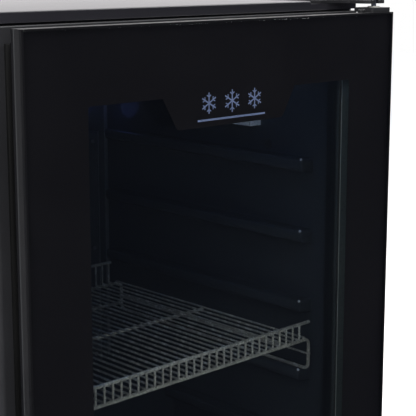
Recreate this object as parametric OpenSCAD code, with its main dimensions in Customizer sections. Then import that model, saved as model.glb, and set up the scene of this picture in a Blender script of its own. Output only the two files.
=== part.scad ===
// Compact glass door merchandiser: insulated cabinet, hinged glass door, one wire shelf,
// fan-cooled evaporator behind a rear cover, and a compressor bay under a step at the back.
// Origin: centre of the footprint on the floor. X to the right, -Y to the front, Z up.

/* [Cabinet] */
// Width of the cabinet and of the door
cabinet_w = 600; // [590:5:620]
// Depth from the door's front face to the wall stand-offs
overall_d = 630; // [620:5:650]
// Height of the top cover's upper face above the floor
cover_top = 880; // [870:5:900]
// Thickness of the insulated side walls and ceiling
wall = 45; // [44:1:48]
// Height of the cabinet's underside above the floor
leg_h = 30; // [29:1:32]

/* [Door] */
// Distance from the door's front glass to the cabinet's face
door_d = 59; // [58:1:61]
// Height of the door's lower edge above the floor
door_bottom = 85; // [84:1:88]
// Width of the glazing's blind margin round the window
spacer_u = 80; // [76:1:82]
// Radius of the two hinge pins
pin_r = 3.5; // [3:0.1:4]

/* [Inside] */
// Height step between two shelf ledges
ledge_pitch = 102; // [98:1:104]
// Height of the top face of the ledge that holds the shelf
shelf_ledge = 354; // [350:1:358]
// Height of the wire deck above its ledge
shelf_rise = 48; // [46:1:50]
// Number of long wires in the shelf's deck
wire_count = 33; // [29:2:35]
// Distance between two long wires
wire_pitch = 13.5; // [13:0.1:13.8]

/* [Fans] */
// Number of blades on each fan
blade_count = 5; // [4:1:6]

/* [Hidden] */
$fn = 48;
eps = 0.01;

// Running clearance between a shaft and its hole
run = 0.05;
// Thickness of the formed steel sheets and of the liner
sheet = 1.2;
panel = 1;
liner_t = 2;

half_w = cabinet_w / 2;
door_front = -overall_d / 2;
face_y = door_front + door_d;
frame_d = 16;
cab_back = overall_d / 2 - 15;
door_top = cover_top - 15;
corner_r = 8;

// Interior
in_x = half_w - wall;
in_front = face_y + sheet;
in_back = cab_back - 55;
in_floor = 130;
in_top = door_top - wall;
step_y = 80;
step_z = 262;
recess_x = 205;
recess_z = [290, 640];
recess_back = in_back + 20;

// Compressor bay under the interior's step
bay_front = step_y + 32;
bay_top = step_z - 38;
bay_floor = leg_h + 2;
duct_top = 80;

// Hinge axis
pin_x = half_w - 17;
pin_y = door_front + 20;
block_h = 16;
bush_r = 6;
bracket_z = cover_top - 4;
bracket_t = 5;

// Shelf
ledge_in = in_x - 25;
ledge_front = door_front + 98;
ledge_count = 5;
deck_z = shelf_ledge + shelf_rise;
thick_r = 2.5;
thin_r = 1.5;
runner_x = in_x - 15;
loop_r = 9;
shelf_front = door_front + 88.5;
shelf_back = door_front + 507;
shelf_mid = door_front + 299;
front_fence_h = 25;
back_fence_h = 38;
weld = 0.6;

// Control housing on the right wall
ctrl_x = in_x - 22;
ctrl_y = [door_front + 201, door_front + 352];
ctrl_z = [door_top - 168, door_top - 118];
ctrl_mid = (ctrl_z[0] + ctrl_z[1]) / 2;
knob_y = door_front + 310;
rocker_y = door_front + 232;
rocker_tilt = 8;

// Fans
evap_fan = [0, in_back - 17, 560];
evap_fan_r = 54;
cond_fan = [-206, 205, 122];
cond_fan_r = 62;
fan_shaft_r = 2.95;

// Compressor
comp = [150, 205];
comp_r = 62;
comp_z = [bay_floor + 9, bay_floor + 12];

// Box between two corners, each axis given as [low, high]
module box(x, y, z) {
    translate([x[0], y[0], z[0]])
        cube([x[1] - x[0], y[1] - y[0], z[1] - z[0]]);
}

// Rectangle with round corners
module rounded_plan(x, y, r) {
    translate([x[0] + r, y[0]])
        square([x[1] - x[0] - 2 * r, y[1] - y[0]]);
    translate([x[0], y[0] + r])
        square([x[1] - x[0], y[1] - y[0] - 2 * r]);
    for (cx = [x[0] + r, x[1] - r], cy = [y[0] + r, y[1] - r])
        translate([cx, cy])
            circle(r);
}

// Upright slab whose plan has round corners
module rounded_slab(x, y, z, r) {
    translate([0, 0, z[0]])
        linear_extrude(z[1] - z[0])
            rounded_plan(x, y, r);
}

// Prism along X whose outline lies in the YZ plane
module yz_prism(x, outline) {
    translate([x[0], 0, 0])
        rotate([90, 0, 90])
            linear_extrude(x[1] - x[0])
                polygon(outline);
}

// Prism along Y whose outline lies in the XZ plane
module xz_prism(y, outline) {
    translate([0, y[1], 0])
        rotate([90, 0, 0])
            linear_extrude(y[1] - y[0])
                polygon(outline);
}

// Rods along each axis, centred on a point of the other two
module rod_x(x, y, z, r) {
    translate([x[0], y, z])
        rotate([0, 90, 0])
            cylinder(h = x[1] - x[0], r = r);
}

module rod_y(x, y, z, r) {
    translate([x, y[0], z])
        rotate([-90, 0, 0])
            cylinder(h = y[1] - y[0], r = r);
}

module rod_z(x, y, z, r) {
    translate([x, y, z[0]])
        cylinder(h = z[1] - z[0], r = r);
}

function sym(a) = [-a, a];

// ---- Cabinet -------------------------------------------------------------------------

// Interior outline in the YZ plane, grown outwards by g, open at the front
function cavity(g, front) = [
    [front, in_floor - g], [step_y + g, in_floor - g], [step_y + g, step_z - g],
    [in_back + g, step_z - g], [in_back + g, in_top + g], [front, in_top + g]];

module side_panel() {
    slot_rows = 6;
    difference() {
        box([half_w - panel, half_w], [face_y + frame_d, cab_back], [leg_h, door_top]);
        for (i = [0 : slot_rows - 1])
            box([half_w - 2, half_w + 1], [150, 260], [74 + i * 20, 80 + i * 20]);
    }
}

module left_side_panel() {
    color([0.09, 0.09, 0.10])
        mirror([1, 0, 0])
            side_panel();
}

module right_side_panel() {
    color([0.09, 0.09, 0.10])
        side_panel();
}

module rear_panel() {
    color([0.10, 0.10, 0.11])
        box(sym(half_w - panel), [cab_back - sheet, cab_back], [bay_top, door_top]);
}

module rear_grille() {
    color([0.10, 0.10, 0.11])
        difference() {
            box(sym(half_w - panel), [cab_back - sheet, cab_back], [bay_floor, bay_top]);
            for (x = [-235, -75, 85], i = [0 : 8])
                box([x, x + 120], [cab_back - 3, cab_back + 1], [60 + i * 16, 66 + i * 16]);
            rod_y(half_w - 45, [cab_back - 3, cab_back + 1], bay_floor + 28, 8);
        }
}

module rear_spacers() {
    color([0.12, 0.12, 0.12])
        for (x = [-200, 200])
            rotate([90, 0, 0])
                translate([x, 800, -cab_back - 15])
                    rotate_extrude()
                        polygon([[0, 0], [11, 0], [12, 1.5], [14, 15], [0, 15]]);
}

foot_x = half_w - 20;
foot_y = [face_y + 41, cab_back - 35];

module base_pan() {
    color([0.45, 0.46, 0.48])
        difference() {
            union() {
                box(sym(half_w - panel), [face_y + frame_d, cab_back], [leg_h, bay_floor]);
                for (x = sym(foot_x), y = foot_y)
                    rod_z(x, y, [bay_floor - eps, bay_floor + 14], 11);
            }
            for (x = sym(foot_x), y = foot_y)
                rod_z(x, y, [leg_h - 1, bay_floor + 15], 5 + run);
        }
}

// Levelling foot: moulded pad with a stud that screws into the base pan's boss
module levelling_foot(x, y) {
    color([0.08, 0.08, 0.08])
        translate([x, y, 0])
            rotate_extrude()
                polygon([[0, 0], [16, 0], [18, 2], [18, 7], [10, 13], [10, 24], [5, 24],
                    [5, leg_h + 20], [4, leg_h + 21], [0, leg_h + 21]]);
}

module foot_front_left() levelling_foot(-foot_x, foot_y[0]);
module foot_front_right() levelling_foot(foot_x, foot_y[0]);
module foot_back_left() levelling_foot(-foot_x, foot_y[1]);
module foot_back_right() levelling_foot(foot_x, foot_y[1]);

vent_x = [-half_w + 64, half_w - 79];
vent_z = [leg_h + 12, leg_h + 44];

// Face frame round the door opening, folded back 16 mm, with an air inlet below the door
module front_frame() {
    color([0.17, 0.17, 0.18])
        difference() {
            rounded_slab(sym(half_w), [face_y, face_y + 60], [leg_h, door_top], corner_r);
            box(sym(half_w + 1), [face_y + frame_d, face_y + 61], [leg_h - 1, door_top + 1]);
            rounded_slab(sym(half_w - sheet), [face_y + sheet, face_y + 59],
                [leg_h + sheet, door_top - sheet], corner_r - sheet);
            box(sym(in_x), [face_y - 1, face_y + 5], [in_floor, in_top]);
            box(vent_x, [face_y - 1, face_y + 5], vent_z);
        }
}

module kick_grille() {
    slot_count = 5;
    color([0.07, 0.07, 0.07])
        difference() {
            box([vent_x[0] - 4, vent_x[1] + 4], [face_y - 3, face_y],
                [vent_z[0] - 4, vent_z[1] + 4]);
            for (i = [0 : slot_count - 1], side = [0, 1])
                box([vent_x[0] + 6 + side * (vent_x[1] - vent_x[0]) / 2,
                    vent_x[0] - 6 + (side + 1) * (vent_x[1] - vent_x[0]) / 2],
                    [face_y - 4, face_y + 1], [vent_z[0] + 2 + i * 6, vent_z[0] + 5.5 + i * 6]);
        }
}

bracket_pocket_x = half_w - 98;
bracket_pocket_y = door_front + 166;

// Moulded top cover: a lipped slab on a set-back foot, hollow below, with a hinge pocket
module top_cover() {
    color([0.11, 0.11, 0.13])
        difference() {
            union() {
                rounded_slab(sym(half_w), [face_y + 1, cab_back], [cover_top - 12, cover_top],
                    corner_r);
                box(sym(half_w - 12), [face_y + 13, cab_back - 6],
                    [door_top, cover_top - 12 + eps]);
            }
            box(sym(half_w - 18), [face_y + 19, cab_back - 12], [door_top - 1, cover_top - 8]);
            box([bracket_pocket_x, half_w + 1], [face_y - 1, bracket_pocket_y],
                [bracket_z, cover_top + 1]);
        }
}

module foam_insulation() {
    color([0.85, 0.82, 0.66])
        difference() {
            union() {
                yz_prism(sym(half_w - panel), [
                    [face_y + frame_d, duct_top], [bay_front, duct_top], [bay_front, bay_top],
                    [cab_back - sheet, bay_top], [cab_back - sheet, door_top],
                    [face_y + frame_d, door_top]]);
                box(sym(half_w - 9), [in_front, face_y + frame_d + eps],
                    [duct_top, door_top - sheet]);
            }
            yz_prism(sym(in_x + liner_t), cavity(liner_t, in_front - 1));
            box(sym(recess_x + liner_t), [in_back, recess_back + liner_t],
                [recess_z[0] - liner_t, recess_z[1] + liner_t]);
        }
}

// Shelf ledge on the right wall, with its top face at height z
module ledge(z, back) {
    xz_prism([ledge_front, back], [
        [in_x + 1, z], [ledge_in + 1, z], [ledge_in, z - 1], [ledge_in, z - 13],
        [ledge_in + 4, z - 18], [in_x + 1, z - 21]]);
}

module inner_liner() {
    color([0.07, 0.08, 0.09])
        union() {
            difference() {
                union() {
                    yz_prism(sym(in_x + liner_t), cavity(liner_t, in_front));
                    box(sym(recess_x + liner_t), [in_back, recess_back + liner_t],
                        [recess_z[0] - liner_t, recess_z[1] + liner_t]);
                }
                yz_prism(sym(in_x), cavity(0, in_front - 1));
                box(sym(recess_x), [in_back - 1, recess_back], recess_z);
            }
            for (i = [-1 : ledge_count - 2], m = [0, 1])
                mirror([m, 0, 0])
                    ledge(shelf_ledge + i * ledge_pitch, i < 0 ? step_y - 6 : in_back - 26);
        }
}

// ---- Hinges --------------------------------------------------------------------------

bracket_holes = [[half_w - 80, face_y + 80], [half_w - 22, face_y + 80],
    [half_w - 40, face_y + 26]];

// Steel plate in the cover's pocket with an arm over the door; the pin stands in its notch
module top_hinge_bracket() {
    tip_y = pin_y - 6;
    color([0.10, 0.10, 0.11])
        difference() {
            translate([0, 0, bracket_z])
                linear_extrude(bracket_t)
                    polygon([
                        [half_w - 97, bracket_pocket_y - 1], [half_w - 97, door_front + 121],
                        [half_w - 76, face_y + 4], [half_w - 50, face_y - 4],
                        [half_w - 38, face_y - 14], [half_w - 36, pin_y + 4],
                        [half_w - 32, tip_y], [half_w - 2, tip_y], [half_w, tip_y + 2],
                        [half_w, bracket_pocket_y - 1]]);
            rod_z(pin_x, pin_y, [bracket_z - 1, bracket_z + bracket_t + 1], pin_r + run);
            box([pin_x - pin_r - run, pin_x + pin_r + run], [tip_y - 1, pin_y],
                [bracket_z - 1, bracket_z + bracket_t + 1]);
            for (p = bracket_holes)
                rod_z(p[0], p[1], [bracket_z - 1, bracket_z + bracket_t + 1], 2.5);
        }
}

// Chrome pin with a collar that rests on the bracket
module top_hinge_pin() {
    collar_z = bracket_z + bracket_t;
    color([0.8, 0.8, 0.82])
        union() {
            rod_z(pin_x, pin_y, [door_top - block_h + 1, collar_z + 2.5], pin_r);
            rod_z(pin_x, pin_y, [collar_z, collar_z + 2.5], 5.5);
        }
}

// Pan-head screw: the head rests on height z and the shank goes down into the plate
module screw_down(x, y, z, shank) {
    rod_z(x, y, [z - shank, z + eps], 2.5);
    translate([x, y, z])
        rotate_extrude()
            polygon([[0, 0], [5, 0], [5, 1], [3.5, 2.4], [0, 2.5]]);
}

module top_hinge_screws() {
    color([0.30, 0.30, 0.32])
        for (p = bracket_holes)
            screw_down(p[0], p[1], bracket_z + bracket_t, bracket_t);
}

low_arm_z = door_bottom - 5;
low_holes = [[half_w - 50, low_arm_z - 22], [half_w - 30, low_arm_z - 22],
    [half_w - 10, low_arm_z - 22]];

// Angle bracket on the cabinet's face under the door
module bottom_hinge_bracket() {
    color([0.10, 0.10, 0.11])
        difference() {
            union() {
                box([half_w - 62, half_w - 2], [face_y - 4, face_y], [leg_h + 14, low_arm_z]);
                rounded_slab([half_w - 36, half_w], [pin_y - 11, face_y - 1],
                    [low_arm_z - 4, low_arm_z], 4);
            }
            rod_z(pin_x, pin_y, [low_arm_z - 5, low_arm_z + 1], pin_r);
            for (p = low_holes)
                rod_y(p[0], [face_y - 5, face_y + 1], p[1], 2.5);
        }
}

module bottom_hinge_pin() {
    color([0.8, 0.8, 0.82])
        union() {
            rod_z(pin_x, pin_y, [low_arm_z - 6, door_bottom + block_h - 1], pin_r);
            rod_z(pin_x, pin_y, [low_arm_z - 7, low_arm_z - 4], 6);
        }
}

module bottom_hinge_screws() {
    color([0.30, 0.30, 0.32])
        for (p = low_holes)
            translate([p[0], face_y - 4, p[1]])
                rotate([90, 0, 0])
                    screw_down(0, 0, 0, 4);
}

// Plugs in the spare hinge holes of the other hand, and one in the liner's right wall
module hole_plugs() {
    color([0.07, 0.07, 0.07]) {
        for (p = low_holes)
            translate([-p[0], face_y, p[1]])
                rotate([90, 0, 0])
                    rotate_extrude()
                        polygon([[0, 0], [5, 0], [4.5, 1.2], [2, 1.8], [0, 1.8]]);
        translate([in_x, door_front + 185, door_top - 194])
            rotate([0, -90, 0])
                rotate_extrude()
                    polygon([[0, 0], [7, 0], [6.5, 1.5], [4, 2.2], [3.5, 1.2], [0, 1.2]]);
    }
}

// ---- Door ----------------------------------------------------------------------------

// Rectangular slab of the door: inset u from its outline, t behind its front face
module door_slab(u, t) {
    box(sym(half_w - u), [door_front + t[0], door_front + t[1]],
        [door_bottom + u, door_top - u]);
}

// Rectangular ring of the door between two insets
module door_ring(u, t) {
    difference() {
        door_slab(u[0], t);
        door_slab(u[1], [t[0] - 1, t[1] + 1]);
    }
}

glass_t = 4;
lip = 2.5;
rear_t = 19;
pane_t = [20, 24];
inner_t = 45;
inner_u = 16;

module door_outer_glass() {
    color([0.05, 0.06, 0.07, 0.6])
        door_slab(lip, [0, glass_t]);
}

module door_inner_glass() {
    color([0.6, 0.7, 0.7, 0.3])
        door_slab(spacer_u - 12, pane_t);
}

module glazing_spacer() {
    color([0.35, 0.42, 0.40])
        door_ring([spacer_u - 10, spacer_u], [glass_t, pane_t[0]]);
}

// Outer profile: a lip round the glass, a flat back, and a hinge block at each right corner
module door_outer_frame() {
    color([0.12, 0.12, 0.13])
        difference() {
            union() {
                door_ring([0, lip], [0, rear_t]);
                door_ring([lip - eps, spacer_u - 10], [glass_t, rear_t]);
                for (z = [[door_bottom, door_bottom + block_h], [door_top - block_h, door_top]])
                    box([half_w - 36, half_w - 2], [door_front + glass_t, door_front + 32], z);
            }
            for (z = [[door_bottom - 1, door_bottom + block_h],
                    [door_top - block_h, door_top + 1]])
                rod_z(pin_x, pin_y, z, bush_r);
        }
}

module door_inner_frame() {
    color([0.10, 0.10, 0.11])
        difference() {
            union() {
                door_ring([inner_u, spacer_u - 14], [rear_t, pane_t[1] + eps]);
                door_ring([inner_u, spacer_u], [pane_t[1], inner_t]);
            }
            // Groove that takes the gasket's foot
            door_ring([22, 26], [inner_t - 4, inner_t + 1]);
        }
}

module door_gasket() {
    color([0.05, 0.05, 0.05])
        union() {
            door_ring([22, 26], [inner_t - 4, inner_t + eps]);
            door_ring([18, 34], [inner_t, inner_t + 3]);
            door_ring([21, 31], [inner_t + 3 - eps, inner_t + 9 + eps]);
            door_ring([18, 34], [inner_t + 9, door_d - 0.2]);
        }
}

module door_top_plate() {
    color([0.14, 0.14, 0.14])
        difference() {
            rounded_slab([half_w - 38, half_w], [door_front + glass_t, door_front + 38],
                [door_top, door_top + 6], 4);
            rod_z(pin_x, pin_y, [door_top - 1, door_top + 7], bush_r);
        }
}

module door_bottom_plate() {
    color([0.14, 0.14, 0.14])
        difference() {
            rounded_slab([half_w - 38, half_w], [door_front + glass_t, door_front + 38],
                [door_bottom - 3, door_bottom], 4);
            rod_z(pin_x, pin_y, [door_bottom - 4, door_bottom + 1], bush_r);
        }
}

// Flanged nylon bush: barrel z, with a flange beyond the end at height flange
module hinge_bush(z, flange) {
    color([0.75, 0.75, 0.70])
        difference() {
            union() {
                rod_z(pin_x, pin_y, z, bush_r);
                rod_z(pin_x, pin_y, flange, bush_r + 2);
            }
            rod_z(pin_x, pin_y, [min(z[0], flange[0]) - 1, max(z[1], flange[1]) + 1],
                pin_r + run);
        }
}

module top_hinge_bush() {
    hinge_bush([door_top - block_h, door_top + 6.5], [door_top + 6, door_top + 7.5]);
}

module bottom_hinge_bush() {
    hinge_bush([door_bottom - 3.5, door_bottom + block_h], [door_bottom - 4.8, door_bottom - 3]);
}

module door_stop_plug() {
    color([0.06, 0.06, 0.06])
        translate([half_w - 47, pin_y - 4, door_top])
            rotate_extrude()
                polygon([[0, 0], [5, 0], [5, 3], [4, 4.5], [0, 4.5]]);
}

// ---- Wire shelf ----------------------------------------------------------------------

wire_z = deck_z + thick_r + thin_r - weld;
wire_span = (wire_count - 1) * wire_pitch / 2;
wire_xs = [for (i = [0 : wire_count - 1]) i * wire_pitch - wire_span];
upright_off = thick_r + thin_r - weld;

module shelf_deck() {
    color([0.42, 0.43, 0.45])
        union() {
            for (y = [shelf_front, shelf_mid, shelf_back])
                rod_x(sym(runner_x - loop_r), y, deck_z, thick_r);
            for (x = wire_xs)
                rod_y(x, [shelf_front - upright_off, shelf_back + upright_off], wire_z, thin_r);
        }
}

// Upright fence: one upright per deck wire, and a rail of half length rail_x along the top
module shelf_fence(y, side, h, rail_x) {
    union() {
        rod_x(sym(rail_x), y, deck_z + h, thick_r);
        for (x = wire_xs)
            rod_z(x, y + side * upright_off, [wire_z, deck_z + h + 1.5], thin_r);
    }
}

module shelf_front_fence() {
    color([0.42, 0.43, 0.45])
        shelf_fence(shelf_front, -1, front_fence_h, runner_x);
}

module shelf_back_fence() {
    color([0.42, 0.43, 0.45])
        shelf_fence(shelf_back, 1, back_fence_h, wire_span + thin_r);
}

// Quarter bend of a side loop, about X, from angle a
module loop_bend(y, z, a) {
    translate([runner_x, y, z])
        rotate([90, 0, 90])
            rotate([0, 0, a])
                rotate_extrude(angle = 90)
                    translate([loop_r, 0])
                        circle(thick_r);
}

// Quarter bend from a deck rail's end down to the post below it
module rail_bend(y) {
    translate([runner_x - loop_r, y, deck_z - loop_r])
        rotate([90, 0, 0])
            rotate_extrude(angle = 90)
                translate([loop_r, 0])
                    circle(thick_r);
}

// Side loop: down from the front rail, along the ledge, and up again to the back rail
module shelf_side_loop() {
    runner_z = shelf_ledge + thick_r + 0.1;
    rod_y(runner_x, [shelf_front + loop_r, shelf_back - loop_r], runner_z, thick_r);
    loop_bend(shelf_front + loop_r, runner_z + loop_r, 180);
    loop_bend(shelf_back - loop_r, runner_z + loop_r, 270);
    for (y = [shelf_front, shelf_back]) {
        rod_z(runner_x, y, [runner_z + loop_r, deck_z - loop_r], thick_r);
        rail_bend(y);
    }
    rod_y(runner_x, [shelf_front, shelf_back], (runner_z + deck_z) / 2, thin_r);
    rod_y(runner_x - loop_r - 1, [shelf_front, shelf_back], wire_z, thin_r);
}

// Both side loops, joined by a low bar across the back posts
module shelf_side_frames() {
    color([0.42, 0.43, 0.45])
        union() {
            shelf_side_loop();
            mirror([1, 0, 0])
                shelf_side_loop();
            rod_x(sym(runner_x), shelf_back + 2 * thick_r - weld,
                shelf_ledge + thick_r + loop_r, thick_r);
        }
}

// ---- Cold air side -------------------------------------------------------------------

cover_x = half_w - 76;
cover_z = [step_z, door_top - 210];
cover_y = in_back - 20;

// Rear air cover with side returns, fan grille and intake slots
module evaporator_cover() {
    ring_w = 4;
    color([0.08, 0.09, 0.10])
        difference() {
            box(sym(cover_x), [cover_y, in_back], cover_z);
            box(sym(cover_x - 3), [cover_y + 3, in_back + 1],
                [cover_z[0] - 1, cover_z[1] - 3]);
            for (r = [16, 26, 36, 46])
                difference() {
                    rod_y(0, [cover_y - 1, cover_y + 4], evap_fan[2], r + 6);
                    rod_y(0, [cover_y - 2, cover_y + 5], evap_fan[2], r);
                    box(sym(ring_w / 2), [cover_y - 2, cover_y + 5],
                        [evap_fan[2] - 60, evap_fan[2] + 60]);
                    box(sym(60), [cover_y - 2, cover_y + 5],
                        [evap_fan[2] - ring_w / 2, evap_fan[2] + ring_w / 2]);
                }
            for (i = [0 : 7])
                box(sym(150), [cover_y - 1, cover_y + 4],
                    [step_z + 18 + i * 9, step_z + 22 + i * 9]);
        }
}

// Fin-and-tube block: fins across X, tube rows along X
module fin_block(x, y, z, fins, rows, tube_r) {
    step = (x[1] - x[0]) / (fins - 1);
    row = (z[1] - z[0]) / rows;
    mid_y = (y[0] + y[1]) / 2;
    union() {
        for (i = [0 : fins - 1])
            box([x[0] + i * step, x[0] + i * step + 0.8], y, z);
        for (j = [0 : rows - 1])
            rod_x([x[0] - 5, x[1] + 5.8], mid_y, z[0] + row * (j + 0.5), tube_r);
    }
}

module evaporator_coil() {
    color([0.78, 0.79, 0.80])
        fin_block([-185, 184.2], [in_back - 12, recess_back - 4], [306, 474], 25, 5, 4);
}

module evaporator_fan_housing() {
    front = evap_fan[1];
    color([0.10, 0.10, 0.10])
        union() {
            difference() {
                box(sym(60), [front, front + 30], [evap_fan[2] - 60, evap_fan[2] + 60]);
                rod_y(0, [front - 1, front + 31], evap_fan[2], evap_fan_r + 2);
            }
            for (a = [30, 150, 270])
                translate([0, front + 26, evap_fan[2]])
                    rotate([0, a, 0])
                        box([-2, 2], [0, 3], [10, evap_fan_r + 4]);
            rod_y(0, [front + 22, front + 29.5], evap_fan[2], 17);
            rod_y(0, [front + 4, front + 23], evap_fan[2], fan_shaft_r);
        }
}

// Axial fan about Z: hub with a bore and flat pitched blades, front at z = 0
module fan_wheel(r_hub, r_tip, depth, pitch) {
    chord = depth / sin(pitch) * 0.9;
    difference() {
        union() {
            cylinder(h = depth, r = r_hub);
            intersection() {
                cylinder(h = depth, r = r_tip);
                for (i = [0 : blade_count - 1])
                    rotate([0, 0, i * 360 / blade_count])
                        translate([r_hub - 2, 0, depth / 2])
                            rotate([pitch, 0, 0])
                                translate([0, -chord / 2, -0.9])
                                    cube([r_tip - r_hub + 4, chord, 1.8]);
            }
        }
        translate([0, 0, -1])
            cylinder(h = depth + 2, r = fan_shaft_r + run);
    }
}

module evaporator_fan_blade() {
    color([0.75, 0.76, 0.76])
        translate([0, evap_fan[1] + 4, evap_fan[2]])
            rotate([-90, 0, 0])
                fan_wheel(16, evap_fan_r, 16, 35);
}

// ---- Lighting and control ------------------------------------------------------------

module control_housing() {
    color([0.88, 0.89, 0.90])
        difference() {
            box([ctrl_x, in_x], ctrl_y, ctrl_z);
            rod_x([ctrl_x - 1, ctrl_x + 16], knob_y, ctrl_mid, 4 + run);
            box([ctrl_x - 1, ctrl_x + 11], [rocker_y - 6.6, rocker_y + 6.6],
                [ctrl_mid - 12, ctrl_mid + 12]);
            rod_y(ctrl_x + 4, [rocker_y - 8.5, rocker_y + 8.5], ctrl_mid, 1.5 + run);
        }
}

module thermostat_knob() {
    color([0.80, 0.81, 0.82])
        difference() {
            union() {
                translate([ctrl_x - 0.3, knob_y, ctrl_mid])
                    rotate([0, -90, 0])
                        rotate_extrude()
                            polygon([[0, 0], [18, 0], [18, 3], [14, 4], [13, 13], [12, 14],
                                [0, 14]]);
                rod_x([ctrl_x - 1, ctrl_x + 14], knob_y, ctrl_mid, 4);
            }
            box([ctrl_x - 15, ctrl_x - 12], [knob_y - 1, knob_y + 1],
                [ctrl_mid + 3, ctrl_mid + 14]);
        }
}

module light_switch_rocker() {
    color([0.10, 0.10, 0.10])
        translate([ctrl_x + 4, rocker_y, ctrl_mid])
            rotate([0, rocker_tilt, 0])
                union() {
                    xz_prism(sym(6), [[2, -9], [-5, -10], [-4, 0], [-5, 10], [2, 9]]);
                    rod_y(0, sym(8), 0, 1.5);
                }
}

led_y = [face_y + 41, face_y + 76];

module led_housing() {
    color([0.80, 0.81, 0.82])
        difference() {
            box(sym(190), led_y, [in_top - 12, in_top]);
            box(sym(186), [led_y[0] + 3, led_y[1] - 3], [in_top - 13, in_top - 3]);
        }
}

module led_diffuser() {
    mid = (led_y[0] + led_y[1]) / 2;
    half = (led_y[1] - led_y[0]) / 2 - 3;
    color([0.80, 0.88, 1.0])
        yz_prism(sym(186), [
            [mid - half, in_top - 3], [mid - half, in_top - 12],
            [mid - half * 0.7, in_top - 15], [mid + half * 0.7, in_top - 15],
            [mid + half, in_top - 12], [mid + half, in_top - 3]]);
}

// ---- Compressor bay ------------------------------------------------------------------

mount_xy = [for (x = [-62, 62], y = [-42, 42]) [comp[0] + x, comp[1] + y]];

module compressor() {
    shell_low = comp_z[1];
    color([0.06, 0.06, 0.06])
        difference() {
            union() {
                box([comp[0] - 72, comp[0] + 72], [comp[1] - 52, comp[1] + 52], comp_z);
                translate([comp[0], comp[1], shell_low - eps])
                    rotate_extrude($fn = 96)
                        polygon([[0, 0], [46, 0], [58, 12], [comp_r, 30], [comp_r, 78],
                            [comp_r + 3, 79], [comp_r + 3, 83], [comp_r, 84], [comp_r, 112],
                            [55, 134], [38, 146], [0, 150]]);
                for (x = sym(stub_x))
                    rod_z(comp[0] + x, comp[1], [shell_low + 130, stub_top], 4);
            }
            for (p = mount_xy)
                rod_z(p[0], p[1], [comp_z[0] - 1, comp_z[1] + 1], 5);
        }
}

module compressor_grommets() {
    color([0.05, 0.05, 0.05])
        for (p = mount_xy)
            translate([p[0], p[1], bay_floor])
                rotate_extrude()
                    polygon([[0, 0], [9, 0], [10, 4], [9, 9], [5, 9], [5, 13], [7, 14],
                        [7, 15], [0, 15]]);
}

module compressor_terminal_box() {
    color([0.05, 0.05, 0.05])
        difference() {
            box([comp[0] + 40, comp[0] + 86], [comp[1] - 24, comp[1] + 24],
                [comp_z[1] + 44, comp_z[1] + 77]);
            rod_z(comp[0], comp[1], [comp_z[1], comp_z[1] + 100], comp_r);
        }
}

coil_y = [bay_front + 16, cab_back - 20];
coil_z = [bay_floor + 18, bay_floor + 162];
coil_x = -half_w + 60;
coil_rows = 6;
coil_row = (coil_z[1] - coil_z[0]) / coil_rows;
coil_half = 18;

// Condenser: fins across Y, tube rows along Y, and two side plates that stand on the floor
module condenser_coil() {
    fins = 25;
    step = (coil_y[1] - coil_y[0]) / (fins - 1);
    color([0.55, 0.50, 0.45])
        union() {
            for (i = [0 : fins - 1])
                box([coil_x - coil_half, coil_x + coil_half],
                    [coil_y[0] + i * step, coil_y[0] + i * step + 0.8], coil_z);
            for (j = [0 : coil_rows - 1])
                rod_y(coil_x, [coil_y[0] - 4, coil_y[1] + 4.8],
                    coil_z[0] + coil_row * (j + 0.5), 4);
            for (x = [coil_x - coil_half - 2, coil_x + coil_half - eps])
                box([x, x + 2 + eps], [coil_y[0] - 1, coil_y[1] + 2], [bay_floor, coil_z[1]]);
        }
}

shroud_x = cond_fan[0] - 10;

// Fan shroud with a hole round the fan, and a cross bar on two posts for the motor
module condenser_shroud() {
    post_r = cond_fan_r + 6;
    bar_z = [cond_fan[2] - 6, cond_fan[2] + 6];
    color([0.45, 0.46, 0.48])
        difference() {
            union() {
                box([shroud_x, shroud_x + 3], [bay_front + 4, cab_back - 16],
                    [bay_floor, bay_top - 24]);
                for (y = [cond_fan[1] - post_r - 5, cond_fan[1] + post_r])
                    box([shroud_x + 1, shroud_x + 40], [y, y + 5], bar_z);
                box([shroud_x + 36, shroud_x + 40],
                    [cond_fan[1] - post_r - 5, cond_fan[1] + post_r + 5], bar_z);
            }
            rod_x([shroud_x - 1, shroud_x + 4], cond_fan[1], cond_fan[2], cond_fan_r + 4);
            rod_x([shroud_x + 35, shroud_x + 41], cond_fan[1], cond_fan[2], 4);
        }
}

module condenser_fan_motor() {
    color([0.16, 0.16, 0.17])
        union() {
            translate([shroud_x + 40, cond_fan[1], cond_fan[2]])
                rotate([0, 90, 0])
                    rotate_extrude()
                        polygon([[0, 0], [24, 0], [27, 4], [27, 38], [20, 46], [0, 46]]);
            rod_x([cond_fan[0] + 1, shroud_x + 41], cond_fan[1], cond_fan[2], fan_shaft_r);
        }
}

module condenser_fan_blade() {
    color([0.70, 0.71, 0.72])
        translate(cond_fan)
            rotate([0, 90, 0])
                fan_wheel(18, cond_fan_r, 18, 32);
}

drier = [-95, cab_back - 12];
drier_z = [84, 170];

module filter_drier() {
    color([0.72, 0.45, 0.25])
        translate([drier[0], drier[1], drier_z[0]])
            rotate_extrude()
                polygon([[0, 0], [3, 0], [8, 12], [8, 74], [3, 86], [0, 86]]);
}

// Tube along a chain of points, each run parallel to an axis, with round elbows
module tube(points, r) {
    for (i = [0 : len(points) - 2]) {
        a = points[i];
        b = points[i + 1];
        low = [for (k = [0 : 2]) min(a[k], b[k])];
        high = [for (k = [0 : 2]) max(a[k], b[k])];
        if (high[0] > low[0])
            rod_x([low[0], high[0]], a[1], a[2], r);
        else if (high[1] > low[1])
            rod_y(a[0], [low[1], high[1]], a[2], r);
        else
            rod_z(a[0], a[1], [low[2], high[2]], r);
        if (i > 0)
            translate(a)
                sphere(r);
    }
}

stub_x = 38;
stub_top = comp_z[1] + 160;

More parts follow.
